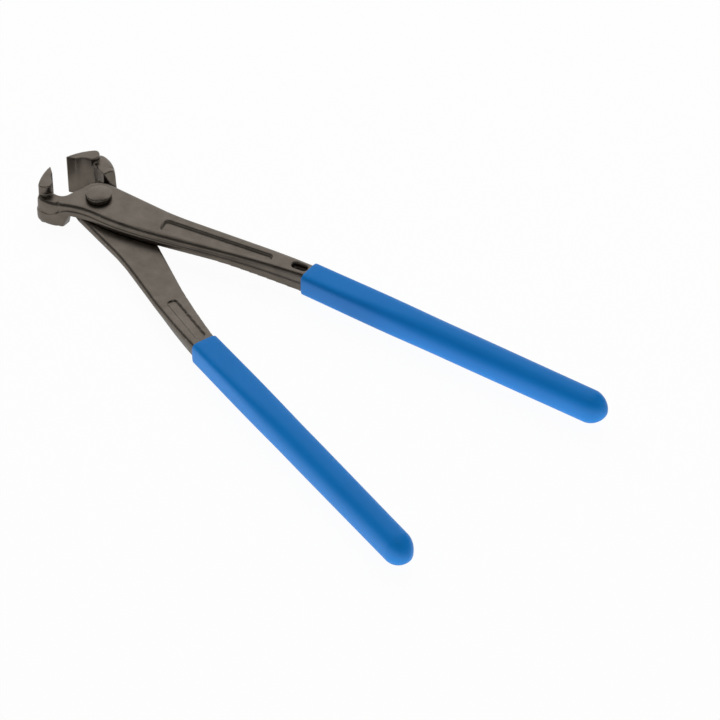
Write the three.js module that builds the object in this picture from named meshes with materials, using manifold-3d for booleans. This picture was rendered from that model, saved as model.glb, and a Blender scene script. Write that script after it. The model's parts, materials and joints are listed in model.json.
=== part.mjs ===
// Concreters nippers: two forged halves that turn on one rivet, each with a dipped plastic grip.
// Millimetres, +Z up along the pivot axis, +X towards the jaws, lying on the undersides of the blades.

import * as THREE from 'three';
import { mergeVertices } from 'three/addons/utils/BufferGeometryUtils.js';
import Module from 'manifold-3d';

const wasm = await Module();
wasm.setup();

// Driving dimensions. Each half is drawn as it lies with the jaws shut, with the pivot axis at its
// origin, the joint face between the halves at height zero and the cutting edge on the X axis.
// Plan sizes are taken below the parting line, where the forging is widest.

// Cutting edges and blade
const edgeReach = 27;
const edgeLength = 20;
const edgeGapAtRest = 8.8;
const bevelLength = 4.7;
const bevelAngle = 40;
const hollowDepth = 0.75;
const bladeSpread = 29;
const bladeDepth = 8;
const bladeInset = 0.6;
const bladeCrownBack = 1.4;
const bladeCrownRise = 1.9;
const bladeHeelBack = 1.7;
const bladeHeelRise = 3.5;
const bladeRimRound = 0.3;
const bladeEase = 0.3;

// Jaw root and throat
const throatReach = 13.1;
const throatHalfWidth = 8.85;
const throatRound = 3.4;
const rootOverlap = 0.8;
const coreDepth = 5;
const coreRise = 1.4;
const rootSetback = 0.5;
const rootSpread = 27;
const jawHalfWidth = 17.1;
const jawCornerBack = 3.4;
const jawCornerRound = 4.8;
const jawHeelBack = 12.8;
const jawHeelRound = 4;
const ledgeHeight = 7.4;
const ledgeRound = 2.2;
const shoulderReach = 6.6;
const shoulderRound = 1.5;
const shoulderSlant = 3.3;
const fullOpening = 66;
const stopGap = 0.3;

// Lap joint and rivet
const lapRadius = 11.2;
const lapFrontAngle = -32;
const lapThickness = 5.3;
const lapGap = 0.3;
const shankRadius = 4;
const shankGap = 0.3;
const headRadius = 5.8;
const headHeight = 2.6;
const headCrown = 0.65;
const headRound = 0.4;
const headGap = 0.3;
const tailRadius = 5.6;
const tailHeight = 1.5;
const tailRound = 0.8;

// Arm and the tang inside the grip
const waistCorner = 2.5;
const waistRound = 10.4;
const waistOffset = 10.9;
const waistPull = 24;
const innerMouthPull = 42.3;
const innerMouthLean = 5.8;
const bendReach = 26;
const bendPull = 20;
const outerMouthPull = 30.3;
const outerMouthLean = 1.05;
const rampStart = 63;
const rampLength = 48;
const rampEntryPull = 8;
const rampExitPull = 14;
const armThickness = 8.5;
const armRimRound = 1.4;
const mouthReach = 103.4;
const mouthOffset = 13.95;
const endReach = 252.7;
const endOffset = 17.1;
const tangWidth = 10.8;
const tangEndWidth = 8.6;
const tangEndCover = 4.5;
const partingHeight = 0.5;
const flashStep = 0.5;
const draftAngle = 5;

// Bare marking recesses on both faces of the arm, and the oblong pocket beside the grip
const recessStart = 34;
const recessFromMouth = 17.4;
const recessStartWidth = 7;
const recessEndWidth = 3.8;
const recessRound = 1.8;
const recessShift = 0.4;
const recessDepth = 1.1;
const recessLean = 0.4;
const backRecessLength = 29.4;
const backRecessFromMouth = 3.2;
const backRecessWidth = 4.5;
const backRecessStartShift = -0.2;
const backRecessEndShift = 0.6;
const backRecessDepth = 0.6;
const pocketLength = 7.4;
const pocketWidth = 3.7;
const pocketDepth = 2.5;
const pocketLean = 0.2;
const pocketFromMouth = 0.8;
const pocketShift = 0.4;

// Dipped grip
const coatThickness = 0.65;
const coatGap = 0.25;
const coatBelow = 1.5;
const swellLength = 70;
const swellWidth = 0.75;
const swellHeight = 2.9;
const endTaper = 0.9;
const mouthSquareness = 5;
const bodySquareness = 2.4;
const lipRound = 0.6;
const domeLength = 7;
const domeSquareness = 2.6;
const dripLength = 0.25;
const dripRadius = 1.2;

// Mesh fineness
const curveSteps = 18;
const cornerSteps = 10;
const rimSteps = 3;
const roundSteps = 36;
const gripSides = 32;
const gripSteps = 14;
const domeSteps = 6;
const rivetSteps = 6;
const edgeSamples = 400;
const narrowestMiter = 0.5;

// Ease of draft and rim rounding where the jaw root runs on inside the blade
const rootEase = 0.3;
const rootFrontEase = 0.5;

// Values that follow from the sizes above
const edgeHalf = edgeLength / 2;
const bladeBack = edgeReach - bladeDepth;
const lapFace = lapGap / 2;
const armUnderside = lapThickness - armThickness;
const coatTop = lapThickness + coatGap + coatThickness;
const coatBottom = armUnderside - coatGap - coatBelow;
const restAngle = Math.asin(edgeGapAtRest / 2 / edgeReach);
const handleRun = new THREE.Vector2(mouthReach - endReach, mouthOffset - endOffset);
const gripLength = handleRun.length();
const draftSlope = Math.tan(THREE.MathUtils.degToRad(draftAngle));
const beyond = 2 * endReach;

const at = (x, y) => new THREE.Vector2(x, y);
const beside = (point, x, y) => at(point.x + x, point.y + y);
const turn = (degrees) => THREE.MathUtils.degToRad(degrees);
const onCircle = (radius, degrees) => at(radius, 0).rotateAround(at(0, 0), turn(degrees));
const bend = (...points) => new THREE.CubicBezierCurve(...points);
const sweep = (from, corner, to) => new THREE.QuadraticBezierCurve(from, corner, to);
const aboutPivot = (radius, from, to) => new THREE.EllipseCurve(0, 0, radius, radius, turn(from), turn(to));

// A point by the handle: its distance behind the mouth of the grip, and its place across the centreline.
function byHandle(distance, across) {
  const along = handleRun.clone().normalize();
  return at(-mouthReach, -mouthOffset)
    .addScaledVector(along, distance)
    .addScaledVector(at(along.y, -along.x), across);
}

// A point of an outline. Its ease says how far draft and rim rounding act there: 1 in full, 0 not at all.
const spot = (point, ease = 1) => ({ x: point.x, y: point.y, ease });

// A stretch of outline along a curve, up to the point where the next stretch starts.
function stretch(curve, steps, startEase = 1, endEase = startEase) {
  return curve.getPoints(steps).slice(0, -1)
    .map((point, index) => spot(point, THREE.MathUtils.lerp(startEase, endEase, index / steps)));
}

// The rounding of a corner between two other points, cut back no further than either of them.
function softCorner(before, corner, after, round) {
  const reach = Math.min(round, before.distanceTo(corner), after.distanceTo(corner));
  const towards = (point) => point.clone().sub(corner).setLength(reach).add(corner);
  return sweep(towards(before), corner, towards(after));
}

// Corners of the jaw root, from the blade's front to the waist behind the jaw.
const rootFront = onCircle(edgeReach - rootSetback, rootSpread);
const jawCorner = at(edgeReach - jawCornerBack, jawHalfWidth);
const jawHeel = at(edgeReach - jawHeelBack, jawHalfWidth);
const waist = at(waistCorner, waistOffset);
const heelEnd = jawHeel.clone().lerp(waist, jawHeelRound / jawHeel.distanceTo(waist));
const waistSweep = softCorner(heelEnd, waist, at(-beyond, waistOffset), waistRound);

// The two long edges of the arm, from the joint to the mouth of the grip.
const outerEdge = bend(at(-bendReach, -lapRadius), at(-bendReach - bendPull, -lapRadius),
  byHandle(-outerMouthPull, outerMouthLean - tangWidth / 2), byHandle(0, -tangWidth / 2));
const innerEdge = bend(waistSweep.v2, beside(waistSweep.v2, -waistPull, 0),
  byHandle(-innerMouthPull, innerMouthLean + tangWidth / 2), byHandle(0, tangWidth / 2));

// Middle of the arm's width at a reach behind the pivot.
function armCentre(reach) {
  const across = (edge) => edge.getPoints(edgeSamples).find((point) => point.x <= -reach).y;
  return at(-reach, (across(outerEdge) + across(innerEdge)) / 2);
}

// Plan of arm, lap and jaw root: out along the outer edge, round the joint and jaw, back along the inner.
function leverOutline() {
  const tangLength = gripLength - tangEndCover - tangEndWidth / 2;
  const tangEnd = byHandle(tangLength, 0);
  const tilt = Math.atan2(-handleRun.y, -handleRun.x);
  const tangRound = new THREE.EllipseCurve(tangEnd.x, tangEnd.y, tangEndWidth / 2, tangEndWidth / 2,
    tilt + Math.PI / 2, tilt + Math.PI * 3 / 2);
  const outerReturn = bend(outerEdge.v3, outerEdge.v2, outerEdge.v1, outerEdge.v0);
  const lapFront = onCircle(lapRadius, lapFrontAngle);
  const underBlade = at(bladeBack + rootOverlap, throatHalfWidth);
  const throat = softCorner(lapFront, at(throatReach, throatHalfWidth), underBlade, throatRound);
  const core = at(edgeReach - coreDepth, throatHalfWidth + coreRise);
  const jawRound = softCorner(rootFront, jawCorner, jawHeel, jawCornerRound);
  const heelRound = softCorner(jawRound.v2, jawHeel, waist, jawHeelRound);
  return [
    ...stretch(tangRound, cornerSteps),
    spot(byHandle(tangLength, -tangEndWidth / 2)),
    ...stretch(outerReturn, curveSteps),
    spot(outerEdge.v0),
    ...stretch(aboutPivot(lapRadius, -90, lapFrontAngle), cornerSteps, 1, rootEase),
    spot(lapFront, rootEase),
    ...stretch(throat, cornerSteps, rootEase),
    spot(throat.v2, rootEase),
    spot(underBlade, rootEase),
    spot(core, rootEase),
    ...stretch(jawRound, cornerSteps, rootFrontEase, 1),
    spot(jawRound.v2),
    ...stretch(heelRound, cornerSteps / 2),
    spot(heelRound.v2),
    ...stretch(waistSweep, cornerSteps),
    ...stretch(innerEdge, curveSteps),
    spot(innerEdge.v3),
  ];
}

// Plan of the blade: front face round the pivot, rounded back, hollow inner face and ground bevel.
function bladeOutline() {
  const tip = at(edgeReach, 0);
  const bevel = turn(bevelAngle);
  const bevelEnd = beside(tip, -bevelLength * Math.cos(bevel), bevelLength * Math.sin(bevel));
  const frontEnd = onCircle(edgeReach, bladeSpread);
  const hollowEnd = at(bladeBack, throatHalfWidth - bladeInset);
  const crown = beside(frontEnd, -bladeCrownBack, bladeCrownRise);
  const heel = beside(hollowEnd, -bladeHeelBack, bladeHeelRise);
  const back = crown.clone().lerp(heel, 0.5);
  const chord = bevelEnd.clone().sub(hollowEnd).normalize();
  const hollow = bevelEnd.clone().lerp(hollowEnd, 0.5)
    .addScaledVector(at(-chord.y, chord.x), 2 * hollowDepth);
  return [
    ...stretch(aboutPivot(edgeReach, 0, bladeSpread), cornerSteps, 0, bladeEase),
    ...stretch(sweep(frontEnd, crown, back), cornerSteps / 2, bladeEase),
    ...stretch(sweep(back, heel, hollowEnd), cornerSteps, bladeEase, 0),
    ...stretch(sweep(hollowEnd, hollow, bevelEnd), cornerSteps, 0),
    spot(bevelEnd, 0),
  ];
}

// Closed body from rings of equal count, wound counter-clockwise as the last ring is seen from outside.
function skin(rings) {
  const count = rings[0].length;
  const triangles = [];
  for (let ring = 0; ring + 1 < rings.length; ring += 1) {
    for (let side = 0; side < count; side += 1) {
      const low = ring * count + side;
      const next = ring * count + (side + 1) % count;
      triangles.push(low, next, next + count, low, next + count, low + count);
    }
  }
  const flatten = (ring) => ring.map((point) => at(point.across, point.up));
  const lastStart = count * (rings.length - 1);
  THREE.ShapeUtils.triangulateShape(flatten(rings[0]), [])
    .forEach(([a, b, c]) => triangles.push(a, c, b));
  THREE.ShapeUtils.triangulateShape(flatten(rings.at(-1)), [])
    .forEach((face) => triangles.push(...face.map((corner) => lastStart + corner)));
  const geometry = new THREE.BufferGeometry();
  const positions = rings.flat().flatMap(({ x, y, z }) => [x, y, z]);
  geometry.setAttribute('position', new THREE.Float32BufferAttribute(positions, 3));
  geometry.setIndex(triangles);
  return geometry;
}

// Quarter round of a rim, from the side up to the flat: how far below the flat, and how far in.
function rim(round) {
  return Array.from({ length: rimSteps + 1 }, (_, step) => {
    const angle = step / rimSteps * Math.PI / 2;
    return { below: round * (1 - Math.sin(angle)), inset: round * (1 - Math.cos(angle)) };
  });
}

// Forging over an outline: straight below the parting line, and above it set in by the step that the trimmed
// flash leaves, and drafted. Growth makes the same form larger all round.
function forging(outline, bottom, top, bottomRim, topRim, growth = 0) {
  const level = (height, inset) => ({
    z: height + (height < partingHeight ? -growth : growth),
    inset: Math.max(height - partingHeight, 0) * draftSlope + inset,
  });
  const levels = [
    ...bottomRim.map(({ below, inset }) => level(bottom + below, inset)).reverse(),
    level(partingHeight, 0),
    level(partingHeight, flashStep),
    ...topRim.map(({ below, inset }) => level(top - below, inset + flashStep)),
  ];
  const count = outline.length;
  const inward = outline.map((point, index) => {
    const before = outline.at(index - 1);
    const after = outline[(index + 1) % count];
    const arriving = at(point.x - before.x, point.y - before.y).normalize();
    const leaving = at(after.x - point.x, after.y - point.y).normalize();
    const along = arriving.clone().add(leaving).normalize();
    return at(-along.y, along.x).divideScalar(Math.max(narrowestMiter, along.dot(leaving)));
  });
  return skin(levels.map(({ z, inset }) => outline.map((point, index) => {
    const shift = inset * point.ease - growth;
    const x = point.x + inward[index].x * shift;
    const y = point.y + inward[index].y * shift;
    return { x, y, z, across: x, up: y };
  })));
}

// Straight prism over a plan shape between two heights.
function prism(points, bottom, top) {
  const options = { depth: top - bottom, bevelEnabled: false };
  return new THREE.ExtrudeGeometry(new THREE.Shape(points), options).translate(0, 0, bottom);
}

// Tapered plan between two points on the arm, with a width at each end and round corners. Growth makes it
// larger all round.
function taperedPlan(start, end, startWidth, endWidth, round, growth = 0) {
  const along = end.clone().sub(start).normalize();
  const sideways = at(-along.y, along.x);
  const corner = (point, ahead, side) => point.clone()
    .addScaledVector(along, ahead * growth)
    .addScaledVector(sideways, side);
  const corners = [
    corner(start, -1, -startWidth / 2 - growth),
    corner(end, 1, -endWidth / 2 - growth),
    corner(end, 1, endWidth / 2 + growth),
    corner(start, -1, startWidth / 2 + growth),
  ];
  return corners.flatMap((place, index) => {
    const after = corners[(index + 1) % corners.length];
    return softCorner(corners.at(index - 1), place, after, round + growth).getPoints(cornerSteps / 2);
  });
}

// Cutter for a recess in the arm's top, with walls that lean outwards from its floor by an amount.
function recessCutter(plan, depth, lean) {
  const ring = (rise) => plan(rise * lean)
    .map(({ x, y }) => ({ x, y, z: lapThickness + rise * depth, across: x, up: y }));
  return solidOf(skin([ring(-1), ring(1)]));
}

function solidOf(geometry) {
  const bare = geometry.clone();
  bare.deleteAttribute('normal');
  bare.deleteAttribute('uv');
  const merged = mergeVertices(bare);
  return new wasm.Manifold(new wasm.Mesh({
    numProp: 3,
    vertProperties: new Float32Array(merged.attributes.position.array),
    triVerts: new Uint32Array(merged.index.array),
  }));
}

function geometryOf(solid) {
  const { vertProperties, triVerts } = solid.getMesh();
  const geometry = new THREE.BufferGeometry();
  geometry.setAttribute('position', new THREE.Float32BufferAttribute(vertProperties, 3));
  geometry.setIndex(Array.from(triVerts));
  geometry.computeVertexNormals();
  return geometry;
}

// How far forward the other half's arm reaches at a place across, when the jaws stand wide open.
function stopReach(across) {
  const opening = turn(fullOpening);
  return (lapRadius + stopGap - across * Math.cos(opening)) / Math.sin(opening);
}

// All the room below the lap face and the arm's underside, except under the jaw root. The root's shoulder
// lies along the other arm when wide open, and slants forward towards the ledge.
function roomBelow(raised) {
  const face = lapFace + raised;
  const underside = armUnderside + raised;
  const floor = -2 * edgeLength;
  const rampEnd = -rampStart - rampLength;
  const ramp = bend(at(-rampStart, face), at(-rampStart - rampEntryPull, face),
    at(rampEnd + rampExitPull, underside), at(rampEnd, underside));
  const side = [
    at(beyond, face),
    ...ramp.getPoints(curveSteps),
    at(-beyond, underside),
    at(-beyond, floor),
    at(beyond, floor),
  ];
  const shoulder = [
    at(shoulderReach, beyond),
    at(shoulderReach, face),
    at(shoulderReach + shoulderSlant, -ledgeHeight),
    at(shoulderReach + shoulderSlant, floor),
    at(beyond, floor),
    at(beyond, beyond),
  ];
  const root = [
    at(stopReach(beyond), beyond),
    at(stopReach(throatHalfWidth + shoulderRound), throatHalfWidth + shoulderRound),
    at(stopReach(throatHalfWidth) + shoulderRound, throatHalfWidth),
    at(beyond, throatHalfWidth),
    at(beyond, beyond),
  ];
  const across = (points) => solidOf(prism(points, -beyond, beyond).rotateX(Math.PI / 2));
  return across(side).subtract(solidOf(prism(root, 2 * floor, beyond)).intersect(across(shoulder)));
}

function markingRecess() {
  const start = beside(armCentre(recessStart), 0, recessShift);
  const end = beside(armCentre(mouthReach - recessFromMouth), 0, recessShift);
  const plan = (growth) => taperedPlan(start, end, recessStartWidth, recessEndWidth, recessRound, growth);
  return recessCutter(plan, recessDepth, recessLean);
}

function backRecess() {
  const back = mouthReach - backRecessFromMouth;
  const start = beside(armCentre(back - backRecessLength), 0, backRecessStartShift);
  const end = beside(armCentre(back), 0, backRecessEndShift);
  const plan = taperedPlan(start, end, backRecessWidth, backRecessWidth, recessRound);
  return solidOf(prism(plan, -edgeHalf, lapThickness)).intersect(roomBelow(backRecessDepth));
}

function sidePocket() {
  const back = mouthReach - pocketFromMouth;
  const start = beside(armCentre(back - pocketLength), 0, -pocketShift);
  const end = beside(armCentre(back), 0, -pocketShift);
  const plan = (growth) => taperedPlan(start, end, pocketWidth, pocketWidth, pocketWidth / 2, growth);
  return recessCutter(plan, pocketDepth, pocketLean);
}

function makeLever() {
  const body = forging(leverOutline(), -ledgeHeight, lapThickness, rim(ledgeRound), rim(armRimRound));
  const blade = forging(bladeOutline(), -edgeHalf, edgeHalf, rim(bladeRimRound), rim(bladeRimRound));
  const boreRadius = shankRadius + shankGap;
  const bore = new THREE.CylinderGeometry(boreRadius, boreRadius, 4 * lapThickness, roundSteps);
  return solidOf(body)
    .subtract(roomBelow(0))
    .subtract(solidOf(bore.rotateX(Math.PI / 2)))
    .subtract(markingRecess())
    .subtract(backRecess())
    .subtract(sidePocket())
    .add(solidOf(blade));
}

// Section of the grip behind its mouth, as seen from its closed end: a squarish ellipse that grows
// rounder along the swell and then narrows a little towards its end.
function gripRing(distance, shrink = 1, trim = 0) {
  const swell = THREE.MathUtils.smoothstep(distance, 0, swellLength);
  const taper = endTaper * THREE.MathUtils.smoothstep(distance, swellLength, gripLength);
  const mouthWidth = tangWidth + 2 * (coatThickness + coatGap);
  const halfWidth = (mouthWidth + swellWidth * swell - taper) / 2 * shrink - trim;
  const halfHeight = (coatTop - coatBottom + swellHeight * swell) / 2 * shrink - trim;
  const power = 2 / THREE.MathUtils.lerp(mouthSquareness, bodySquareness, swell);
  const shape = (value) => Math.sign(value) * Math.abs(value) ** power;
  return Array.from({ length: gripSides }, (_, side) => {
    const angle = (side + 0.5) / gripSides * 2 * Math.PI;
    const across = halfWidth * shape(Math.cos(angle));
    const up = halfHeight * shape(Math.sin(angle));
    const { x, y } = byHandle(distance, -across);
    return { x, y, z: (coatTop + coatBottom) / 2 + up, across, up };
  });
}

function makeGrip() {
  const domeStart = gripLength - dripLength - domeLength;
  const lip = rim(Math.min(lipRound, coatThickness))
    .map(({ below, inset }) => gripRing(below, 1, inset))
    .reverse();
  const body = Array.from({ length: gripSteps },
    (_, step) => gripRing(THREE.MathUtils.lerp(lipRound, domeStart, (step + 1) / gripSteps)));
  const dome = Array.from({ length: domeSteps }, (_, step) => {
    const angle = (step + 1) / (domeSteps + 1) * Math.PI / 2;
    const ahead = Math.sin(angle) ** (2 / domeSquareness);
    return gripRing(domeStart + domeLength * ahead, Math.cos(angle) ** (2 / domeSquareness));
  });
  const drip = gripRing(gripLength, 2 * dripRadius / (tangWidth + swellWidth));
  const sharpRim = [{ below: 0, inset: 0 }];
  const seat = forging(leverOutline(), armUnderside, lapThickness, sharpRim, rim(armRimRound), coatGap);
  return solidOf(skin([...lip, ...body, ...dome, drip])).subtract(solidOf(seat));
}

function makeRivet() {
  const headFace = lapThickness + headGap;
  const headRim = headFace + headHeight - headCrown;
  const tailFace = -lapThickness - headGap;
  const tailEnd = tailFace - tailHeight;
  const profile = new THREE.Path();
  profile.moveTo(0, tailEnd);
  profile.lineTo(tailRadius - tailRound, tailEnd);
  profile.quadraticCurveTo(tailRadius, tailEnd, tailRadius, tailEnd + tailRound);
  profile.lineTo(tailRadius, tailFace);
  profile.lineTo(shankRadius, tailFace);
  profile.lineTo(shankRadius, headFace);
  profile.lineTo(headRadius, headFace);
  profile.lineTo(headRadius, headRim - headRound);
  profile.quadraticCurveTo(headRadius, headRim, headRadius - headRound, headRim);
  profile.quadraticCurveTo(headRadius / 2, headFace + headHeight, 0, headFace + headHeight);
  return new THREE.LatheGeometry(profile.getPoints(rivetSteps), roundSteps).rotateX(Math.PI / 2);
}

function burnishedSteel() {
  return new THREE.MeshStandardMaterial({ color: 0x6a645f, roughness: 0.42, metalness: 0.9 });
}

function bluePlastic() {
  return new THREE.MeshStandardMaterial({ color: 0x2f7fc8, roughness: 0.38, metalness: 0 });
}

function piece(name, geometry, material) {
  const mesh = new THREE.Mesh(geometry, material);
  mesh.name = name;
  return mesh;
}

// Both halves are one form: the lower is the upper turned over, and each stands open by the same angle.
function makeHalf(side, leverShape, gripShape) {
  const half = new THREE.Group();
  half.add(piece(`${side}_lever`, leverShape, burnishedSteel()));
  half.add(piece(`${side}_grip`, gripShape, bluePlastic()));
  half.rotation.set(side === 'lower' ? Math.PI : 0, 0, restAngle);
  return half;
}

const leverShape = geometryOf(makeLever());
const gripShape = geometryOf(makeGrip());
const nippers = new THREE.Group();
nippers.add(makeHalf('upper', leverShape, gripShape));
nippers.add(makeHalf('lower', leverShape, gripShape));
nippers.add(piece('pivot_rivet', makeRivet(), burnishedSteel()));

// The tool lies on its blades, with the origin under the middle of its outline.
const extent = new THREE.Box3().setFromObject(nippers);
const middle = extent.getCenter(new THREE.Vector3());
nippers.position.set(-middle.x, -middle.y, -extent.min.z);

const part = new THREE.Group();
part.add(nippers);

export default part;
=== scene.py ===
import json
import math
from functools import partial

import bmesh
import bpy
from mathutils import Matrix, Vector


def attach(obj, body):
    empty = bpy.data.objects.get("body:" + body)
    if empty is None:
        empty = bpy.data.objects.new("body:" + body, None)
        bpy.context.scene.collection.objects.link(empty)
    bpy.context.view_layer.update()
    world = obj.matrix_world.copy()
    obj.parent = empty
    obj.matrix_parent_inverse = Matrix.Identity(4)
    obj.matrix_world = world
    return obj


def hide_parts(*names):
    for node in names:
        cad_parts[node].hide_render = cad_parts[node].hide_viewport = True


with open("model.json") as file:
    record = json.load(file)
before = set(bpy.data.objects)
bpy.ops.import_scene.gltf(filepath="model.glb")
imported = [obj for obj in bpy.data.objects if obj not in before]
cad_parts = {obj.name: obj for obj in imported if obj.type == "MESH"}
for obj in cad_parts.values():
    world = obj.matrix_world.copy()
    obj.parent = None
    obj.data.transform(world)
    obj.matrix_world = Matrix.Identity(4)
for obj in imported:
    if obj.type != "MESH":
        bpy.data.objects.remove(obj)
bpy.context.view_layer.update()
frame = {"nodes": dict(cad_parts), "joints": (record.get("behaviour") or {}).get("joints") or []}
mm = 0.001
quarterTurn = math.pi / 2
upwards = Vector((0, 0, 1))
pivot = Vector(frame["joints"][0]["pos_m"])
print("frame loaded:", ", ".join(sorted(frame["nodes"])))

# Each half is drawn in millimetres as it lies with the jaws shut, its pivot at the origin, and turned open
# from there. The lower half is the upper one turned over.
opening = {"edgeReach": 27, "edgeGapAtRest": 8.8}
restAngle = math.asin(opening["edgeGapAtRest"] / 2 / opening["edgeReach"])
upperPlace = Matrix.Translation(pivot) @ Matrix.Rotation(restAngle, 4, "Z") @ Matrix.Scale(mm, 4)
turnOver = Matrix.Translation(pivot) @ Matrix.Rotation(math.pi, 4, "X") @ Matrix.Translation(-pivot)
halfPlaces = {"upper": upperPlace, "lower": turnOver @ upperPlace}


# Camera where the photograph was taken, in millimetres and degrees
photoView = {
    "aim": (-42.4, -10.1, 10),
    "distance": 1460.6,
    "azimuth": 224.97,
    "elevation": 42.41,
    "lens": 175,
    "sensorWidth": 36,
    "sightLength": 50000,
}


def makeCamera(view):
    azimuth = math.radians(view["azimuth"])
    elevation = math.radians(view["elevation"])
    level = math.cos(elevation)
    back = Vector((math.sin(azimuth) * level, -math.cos(azimuth) * level, math.sin(elevation)))
    optics = bpy.data.cameras.new("photoCamera")
    optics.lens = view["lens"]
    optics.sensor_width = view["sensorWidth"]
    optics.clip_end = view["sightLength"] * mm
    camera = bpy.data.objects.new("photoCamera", optics)
    camera.location = (Vector(view["aim"]) + back * view["distance"]) * mm
    camera.rotation_mode = "QUATERNION"
    camera.rotation_quaternion = (-back).to_track_quat("-Z", "Y")
    bpy.context.scene.collection.objects.link(camera)
    bpy.context.scene.camera = camera
    return back


towardsCamera = makeCamera(photoView)
print("camera set")


# sRGB hex value to linear
def linear(hexColour):
    colour = []
    for at in (1, 3, 5):
        shade = int(hexColour[at:at + 2], 16) / 255
        colour.append(shade / 12.92 if shade <= 0.04045 else ((shade + 0.055) / 1.055) ** 2.4)
    return colour + [1]


def addNode(tree, kind, settings, inputs):
    node = tree.nodes.new(kind)
    for name, value in settings.items():
        setattr(node, name, value)
    for name, value in inputs.items():
        if isinstance(value, bpy.types.NodeSocket):
            tree.links.new(value, node.inputs[name])
        else:
            node.inputs[name].default_value = value
    return node


def startMaterial(name):
    material = bpy.data.materials.new(name)
    material.use_nodes = True
    material.node_tree.nodes.clear()
    return material, material.node_tree


mixFactor, mixFirst, mixSecond, mixResult = 0, 6, 7, 2    # where a Mix node has its sockets for colours
noiseLow, noiseHigh = 0.3, 0.7                            # most values of a noise texture lie between these

# Drop-forged steel, phosphated and oiled, then rubbed: a warm dark grey with a soft sheen, faint cloudy
# patches, a fine tooth from blasting and brighter edges where handling has worn the coat.
forgedSteelLook = {
    "grey": "#7a7269",
    "darkGrey": "#6a635b",
    "wornGrey": "#9a928a",
    "wornPointiness": (0.52, 0.58),
    "cloudSize": 7,        # mm
    "cloudDetail": 4,
    "cloudRoughness": 0.6,
    "grainSize": 0.7,      # mm; real blasting is finer, drawn this coarse so that it shows
    "grainDetail": 2,
    "grainHeight": 0.005,  # mm
    "grainStrength": 0.5,
    "roughness": (0.28, 0.36),
}


def makeSteel(name, look):
    material, tree = startMaterial(name)
    place = addNode(tree, "ShaderNodeTexCoord", {}, {}).outputs["Object"]
    cloud = addNode(tree, "ShaderNodeTexNoise", {}, {
        "Vector": place, "Scale": 1 / (look["cloudSize"] * mm), "Detail": look["cloudDetail"],
        "Roughness": look["cloudRoughness"]}).outputs["Fac"]
    cloudShare = addNode(tree, "ShaderNodeMapRange", {}, {
        "Value": cloud, "From Min": noiseLow, "From Max": noiseHigh}).outputs["Result"]
    coat = addNode(tree, "ShaderNodeMix", {"data_type": "RGBA"}, {
        mixFactor: cloudShare, mixFirst: linear(look["darkGrey"]),
        mixSecond: linear(look["grey"])}).outputs[mixResult]
    grain = addNode(tree, "ShaderNodeTexNoise", {}, {
        "Vector": place, "Scale": 1 / (look["grainSize"] * mm),
        "Detail": look["grainDetail"]}).outputs["Fac"]
    pointiness = addNode(tree, "ShaderNodeNewGeometry", {}, {}).outputs["Pointiness"]
    wornFrom, wornTo = look["wornPointiness"]
    worn = addNode(tree, "ShaderNodeMapRange", {}, {
        "Value": pointiness, "From Min": wornFrom, "From Max": wornTo}).outputs["Result"]
    rubbed = addNode(tree, "ShaderNodeMath", {"operation": "MULTIPLY"}, {0: worn, 1: grain}).outputs[0]
    colour = addNode(tree, "ShaderNodeMix", {"data_type": "RGBA"}, {
        mixFactor: rubbed, mixFirst: coat, mixSecond: linear(look["wornGrey"])}).outputs[mixResult]
    smooth, rough = look["roughness"]
    sheen = addNode(tree, "ShaderNodeMapRange", {}, {
        "Value": grain, "From Min": noiseLow, "From Max": noiseHigh,
        "To Min": smooth, "To Max": rough}).outputs["Result"]
    tooth = addNode(tree, "ShaderNodeBump", {}, {
        "Height": grain, "Strength": look["grainStrength"],
        "Distance": look["grainHeight"] * mm}).outputs["Normal"]
    surface = addNode(tree, "ShaderNodeBsdfPrincipled", {}, {
        "Base Color": colour, "Metallic": 1, "Roughness": sheen, "Normal": tooth})
    addNode(tree, "ShaderNodeOutputMaterial", {}, {"Surface": surface.outputs[0]})
    return material


forgedSteel = makeSteel("forgedSteel", forgedSteelLook)
rivetSteel = makeSteel("rivetSteel", {**forgedSteelLook, "grainSize": 0.5, "roughness": (0.22, 0.28)})

# Plasticised PVC, dipped hot and left to flow: an even mid blue with a satin skin, a faint orange peel
# and a slight drift of depth where the coat is thicker.
dippedPvcLook = {
    "blue": "#057bcc",
    "deepBlue": "#0474c3",
    "driftSize": 18,       # mm
    "driftDetail": 2,
    "peelSize": 1.6,       # mm
    "peelDetail": 1,
    "peelHeight": 0.02,    # mm
    "peelStrength": 0.6,
    "roughness": (0.38, 0.46),
    "ior": 1.53,
    "specular": 0.2,
}


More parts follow.
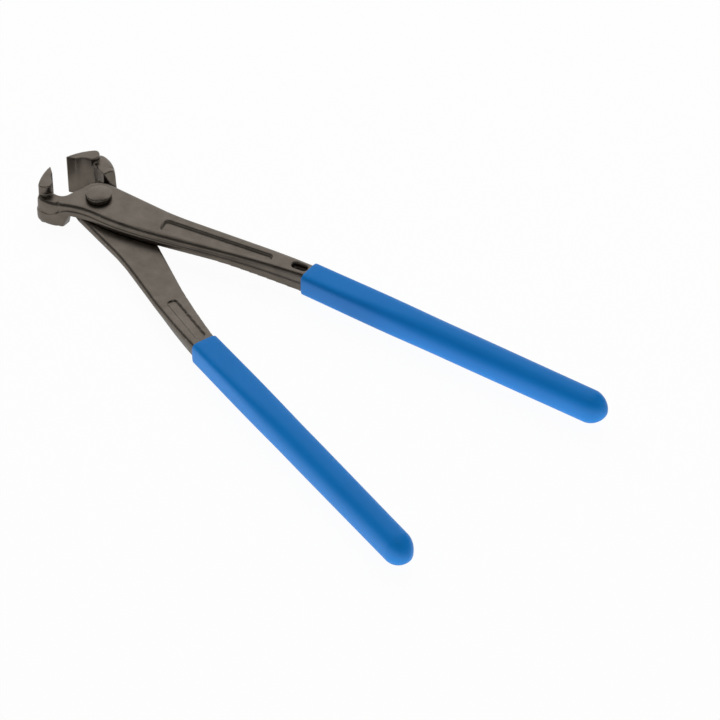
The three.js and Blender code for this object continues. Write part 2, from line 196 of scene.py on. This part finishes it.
def makePvc(name, look):
    material, tree = startMaterial(name)
    place = addNode(tree, "ShaderNodeTexCoord", {}, {}).outputs["Object"]
    drift = addNode(tree, "ShaderNodeTexNoise", {}, {
        "Vector": place, "Scale": 1 / (look["driftSize"] * mm),
        "Detail": look["driftDetail"]}).outputs["Fac"]
    peel = addNode(tree, "ShaderNodeTexNoise", {}, {
        "Vector": place, "Scale": 1 / (look["peelSize"] * mm),
        "Detail": look["peelDetail"]}).outputs["Fac"]
    colour = addNode(tree, "ShaderNodeMix", {"data_type": "RGBA"}, {
        mixFactor: drift, mixFirst: linear(look["blue"]),
        mixSecond: linear(look["deepBlue"])}).outputs[mixResult]
    smooth, rough = look["roughness"]
    sheen = addNode(tree, "ShaderNodeMapRange", {}, {
        "Value": peel, "From Min": noiseLow, "From Max": noiseHigh,
        "To Min": smooth, "To Max": rough}).outputs["Result"]
    skin = addNode(tree, "ShaderNodeBump", {}, {
        "Height": peel, "Strength": look["peelStrength"],
        "Distance": look["peelHeight"] * mm}).outputs["Normal"]
    surface = addNode(tree, "ShaderNodeBsdfPrincipled", {}, {
        "Base Color": colour, "Roughness": sheen, "IOR": look["ior"],
        "Specular IOR Level": look["specular"], "Normal": skin})
    addNode(tree, "ShaderNodeOutputMaterial", {}, {"Surface": surface.outputs[0]})
    return material


dippedPvc = makePvc("dippedPvc", dippedPvcLook)
print("materials made")

sharpAngle = 35          # degrees; an edge that turns more than this stays crisp


def finishPiece(bm, name, material, body, node):
    mesh = bpy.data.meshes.new(name)
    bm.to_mesh(mesh)
    bm.free()
    mesh.shade_smooth()
    mesh.set_sharp_from_angle(angle=math.radians(sharpAngle))
    mesh.materials.append(material)
    piece = bpy.data.objects.new(name, mesh)
    bpy.context.scene.collection.objects.link(piece)
    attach(piece, body)
    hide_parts(node)
    return piece


def smoothStep(value, low, high):
    share = min(max((value - low) / (high - low), 0), 1)
    return share * share * (3 - 2 * share)


def roundEdges(bm, edges, radius, segments):
    bmesh.ops.bevel(bm, geom=edges, offset=radius, offset_type="OFFSET", affect="EDGES", segments=segments,
                    profile=0.5, material=-1)


# Forged levers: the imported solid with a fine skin, eased so that edges are rounded over and inner corners
# have their fillets, as a forging leaves the die. The parting line is drawn to the middle of the thickness,
# and the arm's outer edge gets a round rim on the joint side too. Sizes in millimetres, heights from the
# joint face.
leverSkin = {
    "weld": 0.01,
    "packedParting": 0.5,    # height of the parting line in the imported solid
    "jawParting": -1,
    "jointParting": 2.7,
    "armParting": 1,
    "jawReach": (6.6, 16),   # from the pivot, where the line goes from the joint's height to the jaw's
    "rampReach": (63, 111),  # and to the arm's
    "stepFacing": 0.99,      # least upward share of the normal on the parting line's step
    "flatAngle": 1,          # degrees; facets that turn less than this are joined
    "rimReach": (-9, 112),   # from the pivot, along the arm
    "rimRound": 1.7,
    "rimSegments": 4,
    "underFacing": -0.8,     # most upward share of the normal on the underside beside the rim
    "wallFacing": 0.3,       # and on the wall above it, either way
    "fineness": 0.375,
    "easeShare": 0.5,
    "easeRounds": 2,
}


def drawPartingLine(bm, skin):
    bm.normal_update()
    joint = skin["jointParting"]
    step = [face for face in bm.faces if face.normal.z > skin["stepFacing"]
            and abs(face.calc_center_median().z - skin["packedParting"]) < skin["weld"]]
    for vert in {vert for face in step for vert in face.verts}:
        toJaw = smoothStep(vert.co.x, *skin["jawReach"])
        toArm = smoothStep(-vert.co.x, *skin["rampReach"])
        vert.co.z = joint + (skin["jawParting"] - joint) * toJaw + (skin["armParting"] - joint) * toArm


# The rim is where the underside meets an outward wall that goes up to the parting line
def roundJointRim(bm, skin):
    flatAngle = math.radians(skin["flatAngle"])
    bmesh.ops.dissolve_limit(bm, angle_limit=flatAngle, verts=bm.verts, edges=bm.edges)
    bm.normal_update()
    near, far = skin["rimReach"]
    onArm = [edge for edge in bm.edges if edge.is_manifold
             and all(-far < vert.co.x < -near for vert in edge.verts)]
    rim = []
    for edge in onArm:
        under, wall = sorted(edge.link_faces, key=lambda face: face.normal.z)
        outward = wall.normal.y < 0 and abs(wall.normal.z) < skin["wallFacing"]
        tall = max(vert.co.z for vert in wall.verts) > skin["armParting"] - skin["weld"]
        if outward and tall and under.normal.z < skin["underFacing"]:
            rim.append(edge)
    roundEdges(bm, rim, skin["rimRound"], skin["rimSegments"])


def makeLever(half, skin):
    node = half + "_lever"
    bm = bmesh.new()
    bm.from_mesh(frame["nodes"][node].data)
    bmesh.ops.remove_doubles(bm, verts=bm.verts, dist=skin["weld"] * mm)
    bm.transform(halfPlaces[half].inverted())
    drawPartingLine(bm, skin)
    roundJointRim(bm, skin)
    bm.transform(halfPlaces[half])
    lever = finishPiece(bm, half + "Lever", forgedSteel, half + "_half", node)
    fine = lever.modifiers.new("fineSkin", "REMESH")
    fine.mode = "VOXEL"
    fine.voxel_size = skin["fineness"] * mm
    fine.use_smooth_shade = True
    eased = lever.modifiers.new("easedEdges", "SMOOTH")
    eased.factor = skin["easeShare"]
    eased.iterations = skin["easeRounds"]
    return lever


for half in halfPlaces:
    lever = makeLever(half, leverSkin)
    print(half, "lever made:", len(lever.data.polygons), "faces under its fine skin")


# Rivet: a profile in millimetres, spun about the pivot
rivetSize = {
    "shankRadius": 4,
    "headRadius": 5.8,
    "headHeight": 2.6,
    "headCrown": 0.65,
    "headRound": 0.35,
    "headGap": 0.3,
    "tailRadius": 5.6,
    "tailHeight": 1.5,
    "tailRound": 0.7,
    "lap": 5.3,
    "crownSteps": 8,
    "turnSteps": 96,
    "roundSegments": 4,
    "weld": 0.0001,
    "slack": 0.001,
}


def makeRivet(size):
    headFace = size["lap"] + size["headGap"]
    headTop = headFace + size["headHeight"]
    headRim = headTop - size["headCrown"]
    tailFace = -headFace
    tailEnd = tailFace - size["tailHeight"]
    corners = [
        (0, tailEnd),
        (size["tailRadius"], tailEnd),
        (size["tailRadius"], tailFace),
        (size["shankRadius"], tailFace),
        (size["shankRadius"], headFace),
        (size["headRadius"], headFace),
        (size["headRadius"], headRim),
    ]
    for step in range(1, size["crownSteps"] + 1):
        inward = 1 - step / size["crownSteps"]
        corners.append((size["headRadius"] * inward, headRim + size["headCrown"] * (1 - inward ** 2)))
    bm = bmesh.new()
    verts = [bm.verts.new((radius, 0, height)) for radius, height in corners]
    edges = [bm.edges.new(pair) for pair in zip(verts, verts[1:])]
    bmesh.ops.spin(bm, geom=verts + edges, cent=(0, 0, 0), axis=upwards, angle=2 * math.pi,
                   steps=size["turnSteps"], use_merge=True)
    bmesh.ops.remove_doubles(bm, verts=bm.verts, dist=size["weld"])
    bmesh.ops.recalc_face_normals(bm, faces=bm.faces)
    for radius, height, rounding in ((size["headRadius"], headRim, size["headRound"]),
                                     (size["tailRadius"], tailEnd, size["tailRound"])):
        onRim = {vert for vert in bm.verts
                 if math.dist((vert.co.xy.length, vert.co.z), (radius, height)) < size["slack"]}
        rim = [edge for edge in bm.edges if onRim.issuperset(edge.verts)]
        roundEdges(bm, rim, rounding, size["roundSegments"])
    bm.transform(Matrix.Translation(pivot) @ Matrix.Scale(mm, 4))
    return finishPiece(bm, "pivotRivet", rivetSteel, "lower_half", "pivot_rivet")


rivet = makeRivet(rivetSize)
print("rivet made:", len(rivet.data.polygons), "faces")


# Dipped grips: a tube whose rings are shaped one by one, from deep on the tang, out round the lip of the
# mouth and along to the closed end. Sizes in millimetres.
gripSize = {
    "mouthReach": 103.4,
    "mouthOffset": 13.95,
    "endReach": 252.7,
    "endOffset": 17.1,
    "top": 6.2,
    "bottom": -4.95,
    "mouthWidth": 12.6,
    "swellLength": 70,
    "swellWidth": 0.75,
    "swellHeight": 2.9,
    "endTaper": 0.9,
    "mouthSquareness": 5,
    "bodySquareness": 2.4,
    "lipRound": 0.65,
    "domeLength": 8,
    "domeSquareness": 1.8,
    "tipShare": 0.04,
    "tangWidth": 9.8,
    "tangEndWidth": 7.6,
    "tangEndCover": 7,
    "tangTop": 5.3,
    "tangBottom": -3.2,
    "tangParting": 0.5,
    "draft": 5,            # degrees
    "tangRim": 0.82,
    "seatGap": 0.04,
    "sides": 64,
    "tangSteps": 4,
    "lipSteps": 4,
    "bodySteps": 40,
    "domeSteps": 14,
}


def gripLength(size):
    return math.dist((size["mouthReach"], size["mouthOffset"]), (size["endReach"], size["endOffset"]))


def signedPower(value, power):
    return math.copysign(abs(value) ** power, value)


# A point on a ring outside, sideways and up: squarish at the mouth, rounder along the swell
def gripSection(size, distance, shrink, trim, angle):
    swell = smoothStep(distance, 0, size["swellLength"])
    taper = size["endTaper"] * smoothStep(distance, size["swellLength"], gripLength(size))
    halfWidth = (size["mouthWidth"] + size["swellWidth"] * swell - taper) / 2 * shrink - trim
    halfHeight = (size["top"] - size["bottom"] + size["swellHeight"] * swell) / 2 * shrink - trim
    power = 2 / (size["mouthSquareness"] + (size["bodySquareness"] - size["mouthSquareness"]) * swell)
    middle = (size["top"] + size["bottom"]) / 2
    sideways = halfWidth * signedPower(math.cos(angle), power)
    return sideways, middle + halfHeight * signedPower(math.sin(angle), power)


# A point on a ring inside, on the first of the tang's flat sides that lies that way. The tang is alike left
# and right, so only the right half's sides are listed: the angle each one faces and how far off it is.
def tangSection(size, distance, angle):
    share = distance / (gripLength(size) - size["tangEndCover"])
    width = size["tangWidth"] + (size["tangEndWidth"] - size["tangWidth"]) * share
    halfWidth = width / 2 + size["seatGap"]
    middle = (size["top"] + size["bottom"]) / 2
    top = size["tangTop"] - middle + size["seatGap"]
    bottom = middle - size["tangBottom"] + size["seatGap"]
    parting = size["tangParting"] - middle
    draft = math.radians(size["draft"])
    topHalfWidth = halfWidth - (top - parting) * math.tan(draft)
    flats = [
        (quarterTurn, top),
        (quarterTurn / 2, (topHalfWidth + top - size["tangRim"]) / math.sqrt(2)),
        (draft, halfWidth * math.cos(draft) + parting * math.sin(draft)),
        (-draft, halfWidth * math.cos(draft) - parting * math.sin(draft)),
        (-quarterTurn, bottom),
    ]
    turn = math.asin(math.sin(angle))
    reach = min(gap / math.cos(turn - facing) for facing, gap in flats if math.cos(turn - facing) > 0)
    return reach * math.cos(angle), middle + reach * math.sin(angle)


# Each ring's distance from the mouth, and the section that gives its points
def listGripRings(size):
    length = gripLength(size)
    tangLength = length - size["tangEndCover"]
    domeStart = length - size["domeLength"]
    lip = size["lipRound"]
    inside = [tangLength * (1 - step / size["tangSteps"]) for step in range(size["tangSteps"])] + [lip, 0]
    rings = [(distance, partial(tangSection, size, distance)) for distance in inside]
    for step in range(size["lipSteps"] + 1):
        turn = step / size["lipSteps"] * quarterTurn
        distance = lip * (1 - math.cos(turn))
        trim = lip * (1 - math.sin(turn))
        rings.append((distance, partial(gripSection, size, distance, 1, trim)))
    for step in range(1, size["bodySteps"] + 1):
        distance = lip + (domeStart - lip) * step / size["bodySteps"]
        rings.append((distance, partial(gripSection, size, distance, 1, 0)))
    power = 2 / size["domeSquareness"]
    for step in range(1, size["domeSteps"] + 1):
        turn = step / (size["domeSteps"] + 1) * quarterTurn
        distance = domeStart + size["domeLength"] * math.sin(turn) ** power
        rings.append((distance, partial(gripSection, size, distance, math.cos(turn) ** power, 0)))
    rings.append((length, partial(gripSection, size, length, size["tipShare"], 0)))
    return rings


def makeGrip(half, size):
    mouth = Vector((-size["mouthReach"], -size["mouthOffset"], 0))
    end = Vector((-size["endReach"], -size["endOffset"], 0))
    along = (end - mouth).normalized()
    across = upwards.cross(along)
    rings = listGripRings(size)
    steps = len(rings) - 1
    bm = bmesh.new()
    bmesh.ops.create_cone(bm, cap_ends=True, cap_tris=False, segments=size["sides"], radius1=1, radius2=1,
                          depth=steps)
    lengthwise = [edge for edge in bm.edges if edge.verts[0].co.z * edge.verts[1].co.z < 0]
    bmesh.ops.subdivide_edges(bm, edges=lengthwise, cuts=steps - 1)
    for vert in bm.verts:
        distance, section = rings[round(vert.co.z + steps / 2)]
        sideways, height = section(math.atan2(vert.co.y, vert.co.x))
        vert.co = mouth + along * distance + across * sideways + upwards * height
    bmesh.ops.recalc_face_normals(bm, faces=bm.faces)
    bm.transform(halfPlaces[half])
    return finishPiece(bm, half + "Grip", dippedPvc, half + "_half", half + "_grip")


for half in halfPlaces:
    grip = makeGrip(half, gripSize)
    print(half, "grip made:", len(grip.data.polygons), "faces")


# Studio: a white floor and sky, a wide soft lamp overhead and dark curtains, one round the camera's side and
# one higher up all round. Sizes in metres, and each curtain's spread, lower and upper edge in degrees.
studio = {
    "white": "#ffffff",
    "floorPaint": "#f3f3f3",
    "floorSize": 20,
    "shownWhite": 0.96,      # how white the camera sees the floor; the rest of it takes the shadow
    "mirroredWhite": 0.5,    # and how white the steel mirrors it
    "tableShare": 0.7,       # share of its own glow in the light that the floor throws up
    "tableGlow": 3,
    "skyLevel": 0.6,
    "lampPower": 22,         # watts
    "lampSize": 2,
    "lampHeight": 1.5,
    "lampBack": 0.7,
    "curtainCloth": "#7c7c7c",
    "curtainRadius": 1.2,
    "curtainFacets": 72,
    "curtains": {"frontCurtain": (285, 12, 79), "topCurtain": (360, 57, 79)},
}


def addStagePiece(bm, name, material):
    mesh = bpy.data.meshes.new(name)
    bm.to_mesh(mesh)
    bm.free()
    mesh.materials.append(material)
    piece = bpy.data.objects.new(name, mesh)
    bpy.context.scene.collection.objects.link(piece)
    return piece


# How much of the plain white background a ray gets: one from the camera, or one mirrored or let through
def addWhiteShare(tree, shown, mirrored):
    path = addNode(tree, "ShaderNodeLightPath", {}, {}).outputs
    other = addNode(tree, "ShaderNodeMath", {"operation": "MAXIMUM"}, {
        0: path["Is Glossy Ray"], 1: path["Is Transmission Ray"]}).outputs[0]
    otherShare = addNode(tree, "ShaderNodeMath", {"operation": "MULTIPLY"}, {
        0: other, 1: mirrored}).outputs[0]
    return addNode(tree, "ShaderNodeMath", {"operation": "MULTIPLY_ADD"}, {
        0: path["Is Camera Ray"], 1: shown, 2: otherShare}).outputs[0]


def makeSky(size):
    world = bpy.data.worlds.new("whiteSky")
    bpy.context.scene.world = world
    world.use_nodes = True
    tree = world.node_tree
    tree.nodes.clear()
    strength = addNode(tree, "ShaderNodeMapRange", {}, {
        "Value": addWhiteShare(tree, 1, 1), "To Min": size["skyLevel"], "To Max": 1}).outputs["Result"]
    sky = addNode(tree, "ShaderNodeBackground", {}, {"Color": linear(size["white"]), "Strength": strength})
    addNode(tree, "ShaderNodeOutputWorld", {}, {"Surface": sky.outputs[0]})


def makeFloor(size):
    material, tree = startMaterial("whiteFloor")
    paint = addNode(tree, "ShaderNodeBsdfDiffuse", {}, {"Color": linear(size["floorPaint"])})
    thrownUp = addNode(tree, "ShaderNodeLightPath", {}, {}).outputs["Is Diffuse Ray"]
    strength = addNode(tree, "ShaderNodeMapRange", {}, {
        "Value": thrownUp, "To Min": 1, "To Max": size["tableGlow"]}).outputs["Result"]
    glow = addNode(tree, "ShaderNodeEmission", {}, {"Color": linear(size["white"]), "Strength": strength})
    seen = addWhiteShare(tree, size["shownWhite"], size["mirroredWhite"])
    glowShare = addNode(tree, "ShaderNodeMath", {"operation": "MULTIPLY_ADD"}, {
        0: thrownUp, 1: size["tableShare"], 2: seen}).outputs[0]
    mixed = addNode(tree, "ShaderNodeMixShader", {}, {
        0: glowShare, 1: paint.outputs[0], 2: glow.outputs[0]})
    addNode(tree, "ShaderNodeOutputMaterial", {}, {"Surface": mixed.outputs[0]})
    bm = bmesh.new()
    bmesh.ops.create_grid(bm, x_segments=1, y_segments=1, size=size["floorSize"] / 2)
    addStagePiece(bm, "floor", material)


def makeCurtains(size, facing):
    material, tree = startMaterial("darkCloth")
    cloth = addNode(tree, "ShaderNodeBsdfDiffuse", {}, {"Color": linear(size["curtainCloth"])})
    addNode(tree, "ShaderNodeOutputMaterial", {}, {"Surface": cloth.outputs[0]})
    radius = size["curtainRadius"]
    for name, (spread, lowAngle, highAngle) in size["curtains"].items():
        low = radius * math.tan(math.radians(lowAngle))
        high = radius * math.tan(math.radians(highAngle))
        bm = bmesh.new()
        bmesh.ops.create_cone(bm, cap_ends=False, segments=size["curtainFacets"], radius1=radius,
                              radius2=radius, depth=high - low)
        limit = math.cos(math.radians(spread / 2))
        away = [face for face in bm.faces if face.calc_center_median().normalized().dot(facing) < limit]
        bmesh.ops.delete(bm, geom=away, context="FACES")
        bmesh.ops.translate(bm, verts=bm.verts, vec=upwards * (low + high) / 2)
        curtain = addStagePiece(bm, name, material)
        curtain.visible_camera = False


def makeLamp(size, facing):
    lamp = bpy.data.lights.new("overheadLamp", "AREA")
    lamp.shape = "SQUARE"
    lamp.size = size["lampSize"]
    lamp.energy = size["lampPower"]
    stand = bpy.data.objects.new("overheadLamp", lamp)
    stand.location = upwards * size["lampHeight"] - facing * size["lampBack"]
    stand.rotation_mode = "QUATERNION"
    stand.rotation_quaternion = stand.location.to_track_quat("Z", "Y")
    stand.visible_glossy = False
    bpy.context.scene.collection.objects.link(stand)


cameraSide = Vector((towardsCamera.x, towardsCamera.y, 0)).normalized()
makeSky(studio)
makeFloor(studio)
makeCurtains(studio, cameraSide)
makeLamp(studio, cameraSide)
bpy.context.scene.view_settings.view_transform = "Standard"
print("studio made")

bpy.context.view_layer.update()
